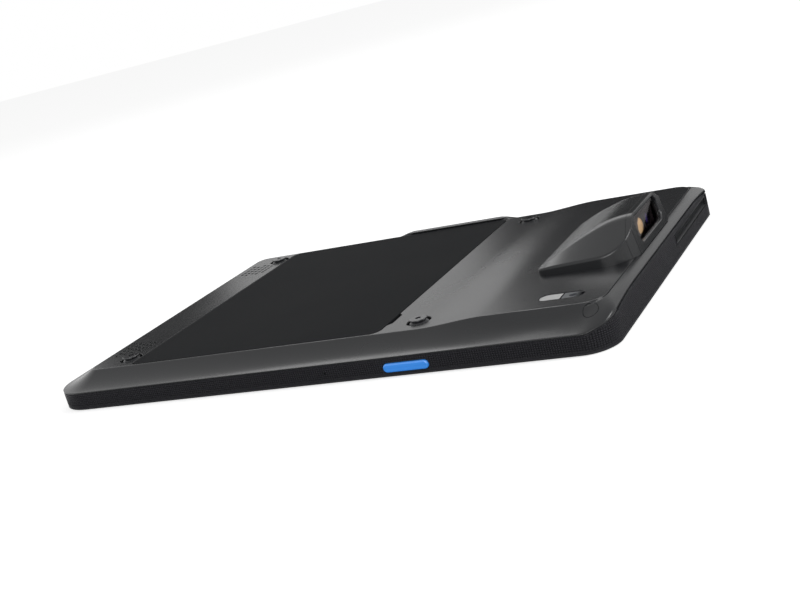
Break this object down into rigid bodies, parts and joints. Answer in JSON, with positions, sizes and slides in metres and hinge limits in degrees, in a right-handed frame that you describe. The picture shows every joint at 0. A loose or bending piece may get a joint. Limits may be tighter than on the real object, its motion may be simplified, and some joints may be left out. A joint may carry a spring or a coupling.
{
  "type": "mobile point of sale tablet",
  "caption": "Rugged shop tablet with a rear barcode scanner hood, a lift-out battery pack, strap studs, side keys and a port door.",
  "frame": {"origin": "middle of the glass face that the tablet lies on", "axes": "+X along the body towards the scanner end, +Y towards the side with the power and volume keys, +Z out of the rear"},
  "size_m": [0.26, 0.179, 0.0308],
  "materials": {
    "cover_glass": "polished black-bordered cover glass",
    "display": "dark liquid crystal panel",
    "flat_cable": "amber polyimide flat cable",
    "frame_plastic": "black moulded plastic, knurled on the side frame",
    "magnesium": "cast magnesium chassis",
    "camera_black": "black moulded housing",
    "circuit_board": "green solder mask",
    "tin_plate": "tinned sheet steel",
    "graphite": "graphite sheet",
    "zinc_steel": "zinc plated steel",
    "copper": "etched copper",
    "black_mesh": "black acoustic mesh",
    "housing_plastic": "charcoal moulded plastic with a fine texture",
    "stud_metal": "black coated steel",
    "seal_rubber": "silicone seal",
    "camera_glass": "smoked camera window",
    "led_diffuser": "white flash diffuser",
    "red_window": "coated scanner window",
    "purple_lens": "purple coated lens",
    "amber_lens": "gold coated lens",
    "red_lens": "red aiming lens",
    "cover_plastic": "smooth dark moulded plastic",
    "pouch_foil": "laminated foil pouch",
    "gold_contact": "gold plated pads",
    "blue_plastic": "blue satin key"
  },
  "bodies": {
    "tablet": {"front_glass": "cover_glass", "display_panel": "display", "display_flex": "flat_cable", "side_frame": "frame_plastic", "mid_frame": "magnesium", "front_camera": "camera_black", "main_board": "circuit_board", "board_shields": "tin_plate", "heat_spreader": "graphite", "board_screws": "zinc_steel", "battery_connector": "camera_black", "vibration_motor": "zinc_steel", "antennas": "copper", "nfc_coil": "copper", "microphones": "tin_plate", "speakers": "camera_black", "speaker_meshes": "black_mesh", "scan_switch": "tin_plate", "power_switch": "tin_plate", "volume_switches": "tin_plate", "usb_receptacle": "tin_plate", "headphone_jack": "camera_black", "card_sockets": "tin_plate", "port_board": "circuit_board", "port_door_pin": "zinc_steel", "rear_housing": "housing_plastic", "housing_screws": "zinc_steel", "screw_plugs": "housing_plastic", "strap_studs": "stud_metal", "battery_gasket": "seal_rubber", "camera_window": "camera_glass", "camera_module": "camera_black", "flash_led": "led_diffuser", "scanner_hood": "housing_plastic", "hood_screws": "zinc_steel", "scanner_bezel": "housing_plastic", "scanner_window": "red_window", "engine_bracket": "tin_plate", "scan_engine": "camera_black", "imager_lens": "purple_lens", "illumination_lens": "amber_lens", "aimer_lens": "red_lens", "scanner_flex": "flat_cable"},
    "battery_pack": {"battery_cover": "cover_plastic", "battery_case": "frame_plastic", "battery_cells": "pouch_foil", "battery_board": "circuit_board", "battery_contacts": "gold_contact"},
    "scan_key": {"scan_button": "blue_plastic"},
    "power_key": {"power_button": "frame_plastic"},
    "volume_rocker": {"volume_key": "frame_plastic"},
    "port_flap": {"port_door": "frame_plastic"}
  },
  "joints": [
    {"name": "battery_lift", "type": "slide", "parent": "tablet", "child": "battery_pack", "axis": [0, 0, 1], "range_m": [0, 0.02]},
    {"name": "scan_press", "type": "slide", "parent": "tablet", "child": "scan_key", "axis": [0, 1, 0], "range_m": [0, 0.0005], "stiffness_N_per_m": 3000, "springref_m": -0.0003},
    {"name": "power_press", "type": "slide", "parent": "tablet", "child": "power_key", "axis": [0, -1, 0], "range_m": [0, 0.0005], "stiffness_N_per_m": 3000, "springref_m": -0.0003},
    {"name": "volume_rock", "type": "hinge", "parent": "tablet", "child": "volume_rocker", "pos_m": [-0.005, 0.08481, 0.00385], "axis": [0, 0, 1], "range_deg": [-1.2, 1.2], "stiffness_Nm_per_rad": 0.8},
    {"name": "port_door_hinge", "type": "hinge", "parent": "tablet", "child": "port_flap", "pos_m": [0.12915, 0.01485, 0.0083], "axis": [0, 0, -1], "range_deg": [0, 90]}
  ]
}
